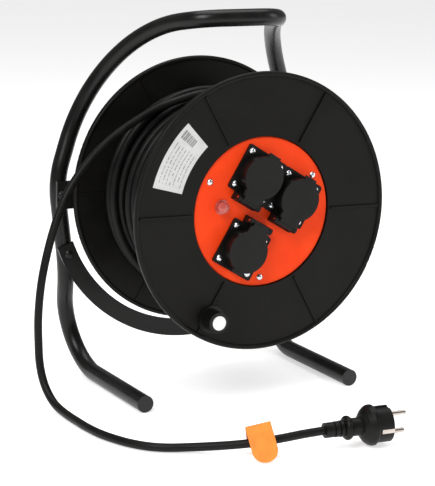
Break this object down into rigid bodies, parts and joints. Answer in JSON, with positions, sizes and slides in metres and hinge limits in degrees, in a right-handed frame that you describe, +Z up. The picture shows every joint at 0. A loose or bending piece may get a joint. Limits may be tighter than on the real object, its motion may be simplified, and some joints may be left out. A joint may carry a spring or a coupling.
{
  "type": "extension cord reel",
  "caption": "Free-standing extension cord reel: a drum of cord with lidded sockets in its face plate and a winding knob, turning on a bent tube stand.",
  "frame": {"origin": "on the floor under the middle of the reel and its stand", "axes": "+Z up, -Y out of the socket face, +X to the right seen from the sockets; the reel turns about Y"},
  "size_m": [0.3791, 0.3982, 0.4075],
  "materials": {
    "black_coat": "black satin powder coat",
    "dark_cap": "satin dark grey plastic",
    "zinc": "bright zinc plated steel",
    "black_plastic": "satin black plastic",
    "orange_plastic": "glossy orange-red plastic",
    "lid_plastic": "satin dark grey plastic",
    "brass_parts": "bare brass",
    "nickel": "pale nickel plate",
    "label_film": "printed film",
    "bush_plastic": "natural nylon",
    "rubber_black": "matt black rubber",
    "boot_red": "translucent pink-red boot",
    "white_cap": "glossy white plastic",
    "tag_card": "coated orange card",
    "core_colour": "insulated core"
  },
  "bodies": {
    "stand": {"tube_frame": "black_coat", "foot_caps": "dark_cap", "crossbar": "black_coat", "lower_brace": "black_coat", "frame_bolts": "black_coat", "axle": "zinc", "axle_nut": "zinc", "axle_washers": "zinc", "axle_retainer": "zinc", "free_cord": "rubber_black", "plug_body": "rubber_black", "plug_pins": "nickel", "plug_earths": "nickel", "cord_tag": "tag_card"},
    "drum": {"front_flange": "black_plastic", "plate_seat": "black_plastic", "back_flange": "black_plastic", "barrel": "black_plastic", "flange_screws": "zinc", "chamber_back": "black_plastic", "hub_bushes": "bush_plastic", "socket_plate": "orange_plastic", "plate_screws": "zinc", "socket_1": "black_plastic", "socket_2": "black_plastic", "socket_3": "black_plastic", "socket_contacts": "brass_parts", "socket_screws": "zinc", "lid_pins": "zinc", "lid_springs": "zinc", "cutout_housing": "boot_red", "reset_spring": "zinc", "rating_label": "label_film", "knob_base": "dark_cap", "knob_pin": "zinc", "knob_cap": "white_cap", "cord_gland": "rubber_black", "inner_cord": "rubber_black", "terminal_block": "bush_plastic", "inner_leads": "core_colour", "cord_winding": "rubber_black"},
    "lid_a": {"lid_1": "lid_plastic"},
    "lid_b": {"lid_2": "lid_plastic"},
    "lid_c": {"lid_3": "lid_plastic"},
    "button": {"reset_button": "boot_red"},
    "knob": {"winding_knob": "black_plastic"}
  },
  "joints": [
    {"name": "drum_spin", "type": "hinge", "parent": "stand", "child": "drum", "pos_m": [0, 0, 0.204], "axis": [0, 1, 0], "continuous": true},
    {"name": "lid_1_hinge", "type": "hinge", "parent": "drum", "child": "lid_a", "pos_m": [-0.02153, -0.1039, 0.2167], "axis": [0.8572, 0, -0.515], "range_deg": [0, 90], "stiffness_Nm_per_rad": 0.02},
    {"name": "lid_2_hinge", "type": "hinge", "parent": "drum", "child": "lid_b", "pos_m": [0.02133, -0.1039, 0.19095], "axis": [0.8572, 0, -0.515], "range_deg": [0, 90], "stiffness_Nm_per_rad": 0.02},
    {"name": "lid_3_hinge", "type": "hinge", "parent": "drum", "child": "lid_c", "pos_m": [-0.00747, -0.1039, 0.19157], "axis": [-0.8572, 0, 0.515], "range_deg": [0, 90], "stiffness_Nm_per_rad": 0.02},
    {"name": "reset_press", "type": "slide", "parent": "drum", "child": "button", "axis": [0, 1, 0], "range_m": [0, 0.0025], "stiffness_N_per_m": 400},
    {"name": "knob_spin", "type": "hinge", "parent": "drum", "child": "knob", "pos_m": [-0.05728, -0.1044, 0.09628], "axis": [0, 1, 0], "continuous": true}
  ]
}
